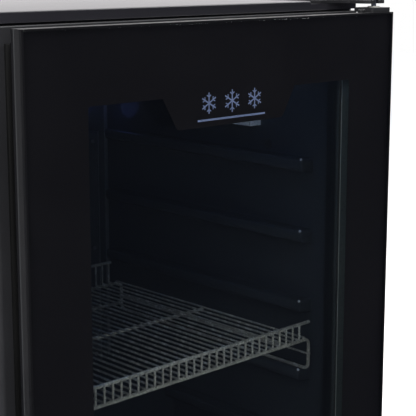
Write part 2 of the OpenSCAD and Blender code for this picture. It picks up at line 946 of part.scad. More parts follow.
module refrigerant_tubes() {
    tube_r = 3;
    line_z = bay_top - 11;
    row_end = coil_y[1] + 4.8;
    top_row = coil_z[0] + coil_row * (coil_rows - 0.5);
    low_row = coil_z[0] + coil_row * 0.5;
    color([0.72, 0.45, 0.25]) {
        tube([[comp[0] - stub_x, comp[1], stub_top], [comp[0] - stub_x, comp[1], line_z],
            [coil_x, comp[1], line_z], [coil_x, drier[1], line_z],
            [coil_x, drier[1], top_row], [coil_x, row_end, top_row]], tube_r);
        tube([[coil_x, row_end, low_row], [coil_x, drier[1], low_row],
            [drier[0], drier[1], low_row], [drier[0], drier[1], drier_z[0]]], tube_r);
        tube([[drier[0], drier[1], drier_z[1]], [drier[0], drier[1], bay_top]], tube_r);
        tube([[comp[0] + stub_x, comp[1], stub_top], [comp[0] + stub_x, comp[1], bay_top]],
            tube_r);
    }
}

module drain_pan() {
    color([0.30, 0.31, 0.32])
        difference() {
            box([-110, 50], [bay_front + 20, cab_back - 25], [bay_floor, bay_floor + 28]);
            box([-108, 48], [bay_front + 22, cab_back - 27], [bay_floor + 2, bay_floor + 29]);
        }
}

gland_z = bay_floor + 28;
gland_bore_r = 4;

// Round gland in the rear grille, where the supply lead enters
module power_cord_gland() {
    color([0.05, 0.05, 0.05])
        difference() {
            union() {
                rod_y(half_w - 45, [cab_back - 5, cab_back + eps], gland_z, 8);
                rod_y(half_w - 45, [cab_back, cab_back + 3], gland_z, 11);
            }
            rod_y(half_w - 45, [cab_back - 6, cab_back + 4], gland_z, gland_bore_r);
        }
}

left_side_panel();
right_side_panel();
rear_panel();
rear_grille();
rear_spacers();
base_pan();
front_frame();
kick_grille();
top_cover();
foam_insulation();
inner_liner();
foot_front_left();
foot_front_right();
foot_back_left();
foot_back_right();
top_hinge_bracket();
top_hinge_pin();
top_hinge_screws();
bottom_hinge_bracket();
bottom_hinge_pin();
bottom_hinge_screws();
hole_plugs();
door_outer_glass();
door_inner_glass();
glazing_spacer();
door_outer_frame();
door_inner_frame();
door_gasket();
door_top_plate();
top_hinge_bush();
door_bottom_plate();
bottom_hinge_bush();
door_stop_plug();
shelf_deck();
shelf_front_fence();
shelf_back_fence();
shelf_side_frames();
evaporator_cover();
evaporator_coil();
evaporator_fan_housing();
evaporator_fan_blade();
control_housing();
thermostat_knob();
light_switch_rocker();
led_housing();
led_diffuser();
compressor();
compressor_grommets();
compressor_terminal_box();
condenser_coil();
condenser_shroud();
condenser_fan_motor();
condenser_fan_blade();
filter_drier();
refrigerant_tubes();
drain_pan();
power_cord_gland();
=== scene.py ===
"""Looks for a compact glass door merchandiser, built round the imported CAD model. Metres, Z up."""
import math

import bmesh
import bpy
from mathutils import Matrix, Vector


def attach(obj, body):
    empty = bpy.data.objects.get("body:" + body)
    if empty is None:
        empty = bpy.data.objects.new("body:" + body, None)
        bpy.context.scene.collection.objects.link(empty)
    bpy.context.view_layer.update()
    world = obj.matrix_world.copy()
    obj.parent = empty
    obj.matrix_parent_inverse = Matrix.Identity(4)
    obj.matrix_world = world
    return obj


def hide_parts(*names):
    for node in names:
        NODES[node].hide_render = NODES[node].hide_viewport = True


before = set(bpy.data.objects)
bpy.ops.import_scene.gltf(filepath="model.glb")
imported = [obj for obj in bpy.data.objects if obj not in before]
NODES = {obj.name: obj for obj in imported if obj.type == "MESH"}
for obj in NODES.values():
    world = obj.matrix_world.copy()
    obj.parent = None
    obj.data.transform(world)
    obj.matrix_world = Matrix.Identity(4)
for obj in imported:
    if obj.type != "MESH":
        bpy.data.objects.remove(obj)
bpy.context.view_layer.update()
MM = 0.001

# Millimetres: half the width, the door's lower and upper edges, and its front face
HALF_W, DOOR_LOW, DOOR_HIGH, DOOR_FRONT = 300, 85, 865, -315


def mm(*values):
    """Millimetres as a point in metres."""
    return Vector([v * MM for v in values])


# ---- Shader graphs --------------------------------------------------------------------

def node(tree, kind, inputs=None, **props):
    """Adds a shader node; inputs maps a socket's name or number to a value or another socket."""
    made = tree.nodes.new("ShaderNode" + kind)
    for key, value in props.items():
        setattr(made, key, value)
    for key, value in (inputs or {}).items():
        if isinstance(value, bpy.types.NodeSocket):
            tree.links.new(value, made.inputs[key])
        else:
            made.inputs[key].default_value = value
    return made


def maths(tree, operation, *values):
    return node(tree, "Math", dict(enumerate(values)), operation=operation).outputs[0]


def ramp(tree, value, low, high, first=0.0, last=1.0, curve="LINEAR"):
    """Goes from first to last, and no further, as value goes from low to high."""
    return node(tree, "MapRange", {0: value, 1: low, 2: high, 3: first, 4: last},
                interpolation_type=curve).outputs[0]


def mix_colours(tree, share, dark, light):
    """Colour from dark to light as share goes from 0 to 1; each is a triple or a socket."""
    ends = [c if isinstance(c, bpy.types.NodeSocket) else (*c, 1) for c in (dark, light)]
    return node(tree, "Mix", {0: share, 6: ends[0], 7: ends[1]}, data_type="RGBA").outputs[2]


def shade(tree, factor, dark, light, low=0.3, high=0.7):
    """Colour from dark to light as factor goes from low to high."""
    return mix_colours(tree, ramp(tree, factor, low, high), dark, light)


def part_place(tree, stretch):
    """Position in the part, in metres, times stretch."""
    place = node(tree, "TexCoord").outputs["Object"]
    return node(tree, "Mapping", {"Vector": place, "Scale": stretch}).outputs[0]


def grain_noise(tree, scale, stretch=(1, 1, 1), detail=3.0, rough=0.55):
    """Noise in the part; scale counts features a metre, and a low stretch draws them out."""
    return node(tree, "TexNoise", {"Vector": part_place(tree, stretch), "Scale": scale,
                                   "Detail": detail, "Roughness": rough}).outputs["Fac"]


def cells(tree, scale, stretch=(1, 1, 1), output="Distance"):
    """Cells in the part; scale counts them a metre."""
    return node(tree, "TexVoronoi", {"Vector": part_place(tree, stretch),
                                     "Scale": scale}).outputs[output]


def beyond(tree, axis, limit):
    """Distance past limit along an axis of the part, counted both ways from the middle for X."""
    place = node(tree, "TexCoord").outputs["Object"]
    level = node(tree, "SeparateXYZ", {0: place}).outputs[axis]
    if axis == "X":
        level = maths(tree, "ABSOLUTE", level)
    return maths(tree, "SUBTRACT", level, limit)


def depth_into(tree):
    """Depth behind the door's front face, in metres."""
    return beyond(tree, "Y", DOOR_FRONT * MM)


# ---- Camera, floor and light ----------------------------------------------------------

def make_camera():
    """Long lens at the front left, tipped down a little to follow the photo's lines."""
    azimuth, pitch = math.radians(-43.69), math.radians(10.42)
    back = Vector((math.sin(azimuth) * math.cos(pitch),
                   -math.cos(azimuth) * math.cos(pitch), math.sin(pitch)))
    data = bpy.data.cameras.new("camera")
    data.lens, data.sensor_width, data.shift_y = 102.6, 36, -0.07
    data.clip_start, data.clip_end = 0.05, 50
    camera = bpy.data.objects.new("camera", data)
    camera.location = (-0.9854, -1.3015, 0.9321)
    camera.rotation_mode = "QUATERNION"
    camera.rotation_quaternion = (-back).to_track_quat("-Z", "Y")
    bpy.context.scene.collection.objects.link(camera)
    bpy.context.scene.camera = camera


def make_world():
    """White behind the object, a bright low horizon on one side for the gloss, and dim elsewhere."""
    world = bpy.data.worlds.new("studio")
    world.use_nodes = True
    tree = world.node_tree
    tree.nodes.clear()
    path = node(tree, "LightPath")
    place = node(tree, "TexCoord").outputs["Generated"]
    side = node(tree, "VectorMath", {0: place, 1: (0.60, 0.80, 0.0)}, operation="DOT_PRODUCT")
    glow = ramp(tree, side.outputs["Value"], 0.42, 0.82, curve="SMOOTHSTEP")
    mirrored = mix_colours(tree, glow, (0.036, 0.040, 0.056), (1.4, 1.365, 1.38))
    soft = node(tree, "Background", {"Color": (0.93, 0.96, 1.0, 1), "Strength": 0.42})
    gloss = node(tree, "Background", {"Color": mirrored, "Strength": 1.0})
    white = node(tree, "Background", {"Color": (1, 1, 1, 1), "Strength": 1.0})
    lit = node(tree, "MixShader", {0: path.outputs["Is Glossy Ray"], 1: soft.outputs[0],
                                   2: gloss.outputs[0]})
    seen = node(tree, "MixShader", {0: path.outputs["Is Camera Ray"], 1: lit.outputs[0],
                                    2: white.outputs[0]})
    node(tree, "OutputWorld", {0: seen.outputs[0]})
    bpy.context.scene.world = world
    bpy.context.scene.view_settings.view_transform = "Standard"


def make_stage():
    """White paper floor a hair under the feet, left out of the reflections."""
    mesh = bpy.data.meshes.new("floor")
    reach, cuts = 9.0, 12
    shape = bmesh.new()
    bmesh.ops.create_grid(shape, x_segments=cuts, y_segments=cuts, size=reach)
    shape.to_mesh(mesh)
    shape.free()
    floor = bpy.data.objects.new("floor", mesh)
    floor.location.z = -0.0002
    floor.visible_glossy = False
    bpy.context.scene.collection.objects.link(floor)
    floor.data.materials.append(surface("floor_paper", (0.84, 0.84, 0.84), 0.9, grain=900,
                                        depth=0.05, tone=0.01, glow=((1, 1, 1), 0.66)))


def add_lamp(name, kind, place, power, colour=(1, 1, 1)):
    data = bpy.data.lights.new(name, kind)
    data.energy, data.color = power, colour
    lamp = bpy.data.objects.new(name, data)
    lamp.location = place
    lamp.visible_camera = False
    bpy.context.scene.collection.objects.link(lamp)
    return lamp


def area_light(name, place, target, size, power):
    """Square softbox that faces target."""
    lamp = add_lamp(name, "AREA", place, power)
    lamp.data.size = size
    lamp.rotation_mode = "QUATERNION"
    lamp.rotation_quaternion = (Vector(target) - Vector(place)).to_track_quat("-Z", "Y")


def make_lights():
    """Three softboxes, and a weak blue lamp in the liner's upper back corner."""
    area_light("key", (-2.3, -1.5, 2.6), (0, 0, 0.5), 1.8, 62)
    area_light("top", (0.2, 0.3, 3.1), (0, 0, 0.6), 2.4, 60)
    area_light("edge", (2.1, -0.9, 3.0), (0, -0.2, 0.6), 1.3, 38)
    spill = add_lamp("lamp_spill", "POINT", (0.232, 0.205, 0.690), 0.006, (0.16, 0.26, 1.0))
    spill.data.shadow_soft_size = 0.02


# ---- Materials ------------------------------------------------------------------------

def blank_material(name):
    material = bpy.data.materials.new(name)
    material.use_nodes = True
    tree = material.node_tree
    tree.nodes.clear()
    return material, tree


def scaled(colour, factor):
    return tuple(min(1.0, c * factor) for c in colour)


def surface(name, colour, rough, metallic=0.0, grain=1200.0, depth=0.1, tone=0.12, mottle=9.0,
            swing=0.06, stretch=(1, 1, 1), specular=0.5, coat=0.0, height=None, paint=None,
            glow=None):
    """Principled surface with a mottled colour, uneven gloss and a fine bump.

    depth is the bump's height in tenths of a millimetre. height and paint are functions that add
    to the graph: one gets the fine grain and returns the relief, the other recolours the base.
    glow is a colour and a strength."""
    material, tree = blank_material(name)
    broad = grain_noise(tree, mottle, detail=4.0)
    fine = grain_noise(tree, grain, stretch)
    base = shade(tree, broad, scaled(colour, 1 - tone), scaled(colour, 1 + tone))
    if paint:
        base = paint(tree, base)
    uneven = ramp(tree, fine, 0.25, 0.75, rough - swing, rough + swing)
    smears = ramp(tree, broad, 0.3, 0.7, -swing, swing)
    gloss = maths(tree, "ADD", uneven, smears)
    relief = height(tree, fine) if height else fine
    bump = node(tree, "Bump", {"Height": relief, "Strength": 1.0, "Distance": depth * 1e-4})
    shader = node(tree, "BsdfPrincipled", {
        "Base Color": base, "Roughness": gloss, "Metallic": metallic,
        "Normal": bump.outputs[0], "Specular IOR Level": specular, "Coat Weight": coat,
        "Coat Roughness": 0.15})
    if glow:
        shader.inputs["Emission Color"].default_value = (*glow[0], 1)
        shader.inputs["Emission Strength"].default_value = glow[1]
    node(tree, "OutputMaterial", {"Surface": shader.outputs[0]})
    return material


def galvanised():
    """Zinc spangle: flakes of differing grey with their own gloss."""
    def paint(tree, base):
        flake = node(tree, "SeparateColor", {0: cells(tree, 75, output="Color")}).outputs[0]
        return shade(tree, flake, (0.34, 0.35, 0.37), (0.60, 0.61, 0.62), 0.0, 1.0)
    return surface("galvanised_steel", (0.45, 0.46, 0.48), 0.38, 0.85, grain=700, depth=0.15,
                   paint=paint, swing=0.08)


def foam():
    """Blown foam with a pitted skin."""
    def height(tree, fine):
        return maths(tree, "ADD", fine, cells(tree, 420))
    return surface("foam", (0.74, 0.66, 0.42), 0.85, grain=500, depth=4.0, tone=0.1,
                   height=height)


def pane_glass(name, film, film_dim):
    """Clear pane: it mirrors a little, more at a glance, and lets the rest straight through."""
    material, tree = blank_material(name)
    facing = node(tree, "LayerWeight", {"Blend": 0.5}).outputs["Facing"]
    rise = maths(tree, "POWER", facing, 5.0)
    share = maths(tree, "MULTIPLY_ADD", rise, 0.93, 0.035)
    ripple = grain_noise(tree, 5.0, detail=1.0)
    bump = node(tree, "Bump", {"Height": ripple, "Strength": 0.4, "Distance": 2e-5})
    dust = ramp(tree, grain_noise(tree, 28.0, detail=5.0), 0.35, 0.75, 0.006, 0.02)
    tint = shade(tree, grain_noise(tree, 3.0), film, film_dim)
    clear = node(tree, "BsdfTransparent", {"Color": tint})
    mirror = node(tree, "BsdfGlossy", {"Color": (0.95, 0.97, 0.98, 1), "Roughness": dust,
                                       "Normal": bump.outputs[0]})
    mix = node(tree, "MixShader", {0: share, 1: clear.outputs[0], 2: mirror.outputs[0]})
    node(tree, "OutputMaterial", {"Surface": mix.outputs[0]})
    return material


def make_materials():
    """Every material, by the name that the CAD's slots use."""
    return {
        "black_paint": surface("black_paint", (0.022, 0.022, 0.025), 0.46, grain=1500, depth=0.22),
        "face_paint": face_paint(),
        "bracket_paint": surface("bracket_paint", (0.020, 0.020, 0.022), 0.40, grain=1800,
                                 depth=0.25),
        "galvanised_steel": galvanised(),
        "black_plastic": surface("black_plastic", (0.015, 0.015, 0.016), 0.5, grain=2600,
                                 depth=0.3),
        "cover_plastic": surface("cover_plastic", (0.023, 0.022, 0.027), 0.30, grain=1100,
                                 depth=0.12, tone=0.04, mottle=4.0, swing=0.015),
        "foam": foam(),
        "liner_plastic": liner_plastic(),
        "foot_nylon": surface("foot_nylon", (0.018, 0.018, 0.018), 0.55, grain=2200, depth=0.3),
        "chrome_pin": surface("chrome_pin", (0.82, 0.83, 0.85), 0.12, 1.0, grain=900, depth=0.02,
                              tone=0.04, stretch=(1, 1, 8), swing=0.03),
        "screw_steel": surface("screw_steel", (0.34, 0.34, 0.36), 0.32, 0.9, grain=1600,
                               depth=0.1),
        "front_glass": pane_glass("front_glass", (0.84, 0.85, 0.85), (0.81, 0.83, 0.83)),
        "clear_glass": pane_glass("clear_glass", (0.90, 0.91, 0.91), (0.88, 0.89, 0.89)),
        "spacer_aluminium": spacer_metal(),
        "door_profile": door_profile(),
        "door_inner_plastic": inner_plastic(),
        "gasket_rubber": surface("gasket_rubber", (0.005, 0.005, 0.005), 0.7, grain=900,
                                 depth=0.4, tone=0.25, specular=0.15),
        "bush_nylon": surface("bush_nylon", (0.62, 0.61, 0.56), 0.45, grain=1500, depth=0.15,
                              tone=0.05),
        "shelf_wire": surface("shelf_wire", (0.68, 0.66, 0.61), 0.25, 0.35, grain=420, depth=0.6,
                              tone=0.12, mottle=60, coat=0.7),
        "cover_sheet": cover_sheet(),
        "fin_aluminium": surface("fin_aluminium", (0.72, 0.73, 0.74), 0.35, 0.9, grain=800,
                                 depth=0.4, tone=0.15),
        "fan_plastic": surface("fan_plastic", (0.20, 0.21, 0.22), 0.42, grain=1500, depth=0.2),
        "white_plastic": surface("white_plastic", (0.80, 0.83, 0.92), 0.38, grain=2000,
                                 depth=0.15, tone=0.04),
        "knob_plastic": surface("knob_plastic", (0.50, 0.52, 0.55), 0.36, grain=2000, depth=0.12,
                                tone=0.05),
        "lamp_diffuser": surface("lamp_diffuser", (0.75, 0.85, 0.95), 0.4, grain=600, depth=0.3,
                                 tone=0.03, glow=((0.22, 0.45, 1.0), 4.0)),
        "compressor_paint": surface("compressor_paint", (0.012, 0.012, 0.013), 0.28, grain=380,
                                    depth=1.0, tone=0.3, coat=0.4),
        "condenser_metal": surface("condenser_metal", (0.33, 0.31, 0.29), 0.45, 0.7, grain=900,
                                   depth=0.4, tone=0.25, mottle=40),
        "motor_metal": surface("motor_metal", (0.10, 0.10, 0.11), 0.42, 0.6, grain=1300,
                               depth=0.3),
        "copper": surface("copper", (0.62, 0.30, 0.16), 0.32, 0.95, grain=500, depth=0.15,
                          tone=0.3, mottle=45),
    }


def spacer_metal():
    """Anodised bar with tiny breathing slots, greenish in front, and a painted highlight along
    its rear edge.
    """
    def paint(tree, base):
        dots = cells(tree, 330, stretch=(1, 0.4, 1))
        bar = shade(tree, dots, (0.02, 0.022, 0.022), base, 0.10, 0.22)
        front = shade(tree, depth_into(tree), (0.055, 0.115, 0.10), bar, 0.0070, 0.0085)
        # Painted highlight: a pale line at the bar's rear edge.
        return shade(tree, depth_into(tree), front, (0.36, 0.38, 0.37), 0.0184, 0.0188)
    return surface("spacer_aluminium", (0.062, 0.078, 0.078), 0.4, 0.55, grain=900, depth=0.15,
                   paint=paint)


def face_paint():
    """Powder coat, with a painted highlight along the frame's top edge."""
    def paint(tree, base):
        # Painted highlight: pale above 863.7 mm, along the frame's top edge.
        return shade(tree, beyond(tree, "Z", 0.8637), base, (0.16, 0.16, 0.165), 0.0, 0.0005)
    return surface("face_paint", (0.029, 0.029, 0.032), 0.42, grain=1500, depth=0.2, paint=paint)


def cover_sheet():
    """Painted sheet, with a painted highlight along its folded front corners."""
    def paint(tree, base):
        # Painted highlight where the sheet reaches its rounded front corners.
        return shade(tree, beyond(tree, "X", 0.2215), base, (0.45, 0.46, 0.46), 0.0, 0.0008)
    return surface("cover_sheet", (0.044, 0.052, 0.062), 0.34, grain=1600, depth=0.15,
                   tone=0.04, paint=paint)


def liner_plastic():
    """Formed sheet, with a painted highlight in the upright back corners."""
    def paint(tree, base):
        # Painted highlight where the side walls meet the back wall.
        corner = maths(tree, "MINIMUM", beyond(tree, "X", 0.2500), beyond(tree, "Y", 0.2405))
        return shade(tree, corner, base, (0.16, 0.17, 0.18), 0.0, 0.0008)
    return surface("liner_plastic", (0.038, 0.046, 0.056), 0.19, grain=240, depth=0.06,
                   tone=0.03, mottle=6.0, swing=0.02, paint=paint)


def inner_plastic():
    """Dark moulding, with a painted highlight where its lip meets the inner pane and painted
    shade, near black, at its outer sides.
    """
    def paint(tree, base):
        lip = maths(tree, "MAXIMUM", depth_into(tree), beyond(tree, "X", 0.1975))
        # Painted highlight on the lip where it meets the inner pane.
        inside = shade(tree, lip, (0.060, 0.068, 0.070), base, 0.0262, 0.0285)
        # Painted shade, near black, on the moulding's outer sides.
        return shade(tree, beyond(tree, "X", 0.2800), inside, (0.002, 0.002, 0.002), 0.0, 0.001)
    return surface("door_inner_plastic", (0.010, 0.011, 0.013), 0.5, grain=2400, depth=0.25,
                   specular=0.2, paint=paint)


def door_profile():
    """Satin extrusion: dark along the glass's edge in front, with a painted highlight line, then a
    painted shadow band, near black, further back, and a painted highlight on the lip by the glass."""
    def paint(tree, base):
        depth = depth_into(tree)
        colour = shade(tree, depth, (0.007, 0.007, 0.008), base, 0.0040, 0.0044)
        # Painted highlight: a pale line about 13 mm behind the front face.
        colour = shade(tree, depth, colour, (0.050, 0.051, 0.053), 0.0128, 0.0132)
        # Painted shade: near black from about 15 mm back.
        colour = shade(tree, depth, colour, (0.004, 0.004, 0.005), 0.0146, 0.0150)
        # Painted highlight on the frame's lip beside the glass, in its front 3 mm.
        lip = maths(tree, "COMPARE", beyond(tree, "X", 0.0), 0.297, 0.0004)
        lit = maths(tree, "MULTIPLY", lip, maths(tree, "LESS_THAN", depth, 0.0030))
        return shade(tree, lit, colour, (0.055, 0.058, 0.054), 0.0, 1.0)
    return surface("door_profile", (0.019, 0.019, 0.020), 0.30, 0.25, grain=1400, depth=0.12,
                   stretch=(6, 6, 0.06), swing=0.05, paint=paint)


def dress_cad(materials):
    """Gives each CAD slot the material of its own name."""
    for obj in NODES.values():
        for slot in obj.material_slots:
            slot.material = materials[slot.material.name.split(".")[0]]


# ---- Mesh helpers ---------------------------------------------------------------------

def smooth_group():
    """Modifier group that shades every face smooth, for use before a bevel."""
    group = bpy.data.node_groups.new("smooth_faces", "GeometryNodeTree")
    group.interface.new_socket("Geometry", in_out="INPUT", socket_type="NodeSocketGeometry")
    group.interface.new_socket("Geometry", in_out="OUTPUT", socket_type="NodeSocketGeometry")
    begin = group.nodes.new("NodeGroupInput")
    smooth = group.nodes.new("GeometryNodeSetShadeSmooth")
    end = group.nodes.new("NodeGroupOutput")
    group.links.new(begin.outputs[0], smooth.inputs["Geometry"])
    group.links.new(smooth.outputs[0], end.inputs[0])
    return group


SMOOTH = smooth_group()


def soften(name, width, segments=2, angle=32):
    """Rounds a CAD node's sharp edges by width millimetres, with modifiers alone."""
    obj = NODES[name]
    weld = obj.modifiers.new("weld", "WELD")
    weld.merge_threshold = 2e-6
    obj.modifiers.new("smooth", "NODES").node_group = SMOOTH
    bevel = obj.modifiers.new("bevel", "BEVEL")
    bevel.width, bevel.segments = width * MM, segments
    bevel.limit_method, bevel.angle_limit = "ANGLE", math.radians(angle)
    bevel.miter_outer = "MITER_ARC"
    normals = obj.modifiers.new("normals", "WEIGHTED_NORMAL")
    normals.weight, normals.keep_sharp = 60, False


def piece(name, shape, body, material, stands_for=(), sharp=32):
    """Turns a bmesh into a named piece on a body, smooth but for edges over the sharp angle."""
    bmesh.ops.recalc_face_normals(shape, faces=shape.faces)
    for face in shape.faces:
        face.smooth = True
    limit = math.radians(sharp)
    for edge in shape.edges:
        if len(edge.link_faces) == 2 and edge.calc_face_angle(0) > limit:
            edge.smooth = False
    mesh = bpy.data.meshes.new(name)
    shape.to_mesh(mesh)
    shape.free()
    obj = bpy.data.objects.new(name, mesh)
    bpy.context.scene.collection.objects.link(obj)
    mesh.materials.append(material)
    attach(obj, body)
    if stands_for:
        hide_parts(*stands_for)


def arc(cx, cy, r, a0, a1, steps):
    """Points of an arc in degrees, both ends included."""
    turn = [math.radians(a0 + (a1 - a0) * i / steps) for i in range(steps + 1)]
    return [(cx + r * math.cos(a), cy + r * math.sin(a)) for a in turn]


def bevel_edges(shape, edges, width, segments):
    """Rounds edges by width millimetres."""
    bmesh.ops.bevel(shape, geom=list(edges), offset=width * MM, segments=segments,
                    affect="EDGES", profile=0.5, clamp_overlap=False)


def bridge(shape, a, b, closed=True):
    """Band of faces between two lines of vertices, closed into a ring if asked."""
    steps = len(a) if closed else len(a) - 1
    made = []
    for k in range(steps):
        n = (k + 1) % len(a)
        made.append(shape.faces.new((a[k], a[n], b[n], b[k])))
    return made


def orient(shape, face, direction):
    """Makes the normals agree, with face's own turned towards direction."""
    bmesh.ops.recalc_face_normals(shape, faces=shape.faces)
    if face.normal.dot(direction) < 0:
        bmesh.ops.reverse_faces(shape, faces=shape.faces)


def flat_at(edge_or_face, axis, level):
    """Whether every corner lies at level millimetres along an axis, on either side for X."""
    return all(abs((abs(v.co.x) if axis == 0 else v.co[axis]) - level * MM) < 1e-6
               for v in edge_or_face.verts)


def add_box(shape, xs, ys, zs):
    """Adds a box given its millimetre ranges."""
    for v in bmesh.ops.create_cube(shape, size=1.0)["verts"]:
        v.co = mm(*(r[0] if c < 0 else r[1] for c, r in zip(v.co, (xs, ys, zs))))


def thicken(shape, depth):
    """Extrudes flat faces forward by depth millimetres and keeps the sheet closed."""
    faces = list(shape.faces)
    made = bmesh.ops.extrude_face_region(shape, geom=faces, use_keep_orig=True)
    moved = [g for g in made["geom"] if isinstance(g, bmesh.types.BMVert)]
    bmesh.ops.translate(shape, verts=moved, vec=mm(0, -depth, 0))


# ---- Top cover ------------------------------------------------------------------------

def make_top_cover(material):
    """Moulded lid with rounded lips, a pocket for the hinge bracket and a foot, set back in front,
    that covers the foam's top."""
    front, back, low, floor, top, r, steps = -255, 300, 868, 876, 880, 8, 6
    pocket_x, pocket_y = HALF_W - 98, -149
    left_front = arc(-HALF_W + r, front + r, r, 180, 270, steps)
    right_front = arc(HALF_W - r, front + r, r, 270, 360, steps)
    right_back = arc(HALF_W - r, back - r, r, 0, 90, steps)
    left_back = arc(-HALF_W + r, back - r, r, 90, 180, steps)
    p1, p2, p3 = pocket_line = [(pocket_x, front), (pocket_x, pocket_y), (HALF_W, pocket_y)]
    plain = right_back + left_back + left_front
    beside_pocket = [p1] + right_front + [p3]
    shape = bmesh.new()

    def level(points, z):
        return {point: shape.verts.new(mm(*point, z)) for point in points}

    def along(verts, points):
        return [verts[point] for point in points]

    bottom = level(plain + beside_pocket, low)
    upper = level(plain + pocket_line, top)
    pocket = level(beside_pocket + [p2], floor)
    for verts in (upper, pocket, bottom):
        shape.faces.new(verts.values())
    bridge(shape, along(bottom, plain), along(upper, plain), closed=False)
    shape.faces.new((bottom[plain[-1]], bottom[p1], pocket[p1], upper[p1], upper[plain[-1]]))
    shape.faces.new((bottom[p3], bottom[plain[0]], upper[plain[0]], upper[p3], pocket[p3]))
    bridge(shape, along(bottom, beside_pocket), along(pocket, beside_pocket), closed=False)
    bridge(shape, along(pocket, pocket_line), along(upper, pocket_line), closed=False)
    shape.normal_update()
    rim = [e for e in shape.edges if flat_at(e, 2, top)]
    hem = [e for e in shape.edges if flat_at(e, 2, low)]
    bevel_edges(shape, rim, 2.2, 4)
    bevel_edges(shape, hem, 0.4, 2)
    add_box(shape, (-299.6, 299.6), (-242, 299.6), (865.2, 868.4))
    piece("top_cover_shell", shape, "cabinet", material, ["top_cover"])


# ---- Liner and evaporator cover -------------------------------------------------------

# Millimetres: the tub's half width, back wall, floor, step over the compressor and ceiling
TUB_HALF, TUB_BACK, TUB_LOW, STEP_FRONT, STEP_TOP, TUB_TOP = 255, 245, 130, 80, 262, 820
LEDGE_TOPS = [252 + 102 * k for k in range(5)]
FAN_Z = 560


def make_liner(material):
    """Vacuum-formed tub: soft inside corners, a step over the compressor, a deep recess."""
    front = -254.8
    line = [(front, TUB_TOP), (TUB_BACK, TUB_TOP), (TUB_BACK, STEP_TOP), (STEP_FRONT, STEP_TOP),
            (STEP_FRONT, TUB_LOW), (front, TUB_LOW)]
    shape = bmesh.new()
    rows = [[shape.verts.new(mm(x, y, z)) for y, z in line] for x in (-TUB_HALF, TUB_HALF)]
    bridge(shape, *rows, closed=False)
    for row in rows:
        shape.faces.new(row)
    cut_recess(shape)
    bmesh.ops.recalc_face_normals(shape, faces=shape.faces)
    shape.normal_update()
    folds = [e for e in shape.edges if len(e.link_faces) == 2 and e.calc_face_angle() > 0.5]
    bevel_edges(shape, folds, 6, 4)
    wall = shape.faces[:][0]
    orient(shape, wall, mm(0, 0, 500) - wall.calc_center_median())
    bmesh.ops.solidify(shape, geom=shape.faces[:], thickness=1.8 * MM)
    for top in LEDGE_TOPS:
        ledge_back = STEP_FRONT - 6 if top < STEP_TOP else 219
        for side in (-1, 1):
            add_ledge(shape, side, top, ledge_back)
    piece("inner_liner_tub", shape, "cabinet", material, ["inner_liner"],
          sharp=40)


def cut_recess(shape):
    """Replaces the flat back wall by one with the evaporator's recess pushed into it."""
    half, low, high, deep = 205, 290, 640, 20
    wall = next(f for f in shape.faces if flat_at(f, 1, TUB_BACK))
    corners = list(wall.verts)
    shape.faces.remove(wall)
    near = [shape.verts.new(mm(x, TUB_BACK, z))
            for x, z in ((-half, low), (half, low), (half, high), (-half, high))]
    far = [shape.verts.new(v.co + mm(0, deep, 0)) for v in near]
    bridge(shape, near, far)
    shape.faces.new(far)
    outer = [min(corners, key=lambda v: (v.co - mm(x, TUB_BACK, z)).length)
             for x, z in ((-TUB_HALF, STEP_TOP), (TUB_HALF, STEP_TOP), (TUB_HALF, TUB_TOP),
                          (-TUB_HALF, TUB_TOP))]
    bridge(shape, outer, near)


def add_ledge(shape, side, top, back):
    """Shelf ledge on a side wall, moulded with round ends and a sloping underside."""
    wall, tip, front, r = TUB_HALF + 0.5, 230, -217, 3.5
    line = [(wall, top), (tip, top), (tip, top - 13), (tip + 4, top - 18), (wall, top - 21)]
    ends = [[shape.verts.new(mm(side * x, y, z)) for x, z in line] for y in (front, back)]
    made = [shape.faces.new(ends[0]), shape.faces.new(ends[1][::-1])]
    made += bridge(shape, ends[1], ends[0])
    edges = {e for f in made for e in f.edges if not flat_at(e, 0, wall)}
    bmesh.ops.recalc_face_normals(shape, faces=made)
    bevel_edges(shape, edges, r, 4)


def guard_slots(centre_z):
    """Outlines of the fan guard's slots: four rings, each cut in quarters by a cross."""
    half_bar, slot, outlines = 2, 6, []
    for r in (16, 26, 36, 46):
        a_in, a_out = (math.degrees(math.asin(half_bar / d)) for d in (r, r + slot))
        for turn in (0, 90, 180, 270):
            line = arc(0, centre_z, r, turn + a_in, turn + 90 - a_in, 8)
            line += arc(0, centre_z, r + slot, turn + 90 - a_out, turn + a_out, 8)
            outlines.append(line)
    return outlines


def intake_slots(low, half=148, r=2, pitch=9, count=8):
    """Outlines of a stack of long slots with round ends, the lowest at height low."""
    levels = [low + r + k * pitch for k in range(count)]
    return [arc(half, z, r, -90, 90, 4) + arc(-half, z, r, 90, 270, 4) for z in levels]


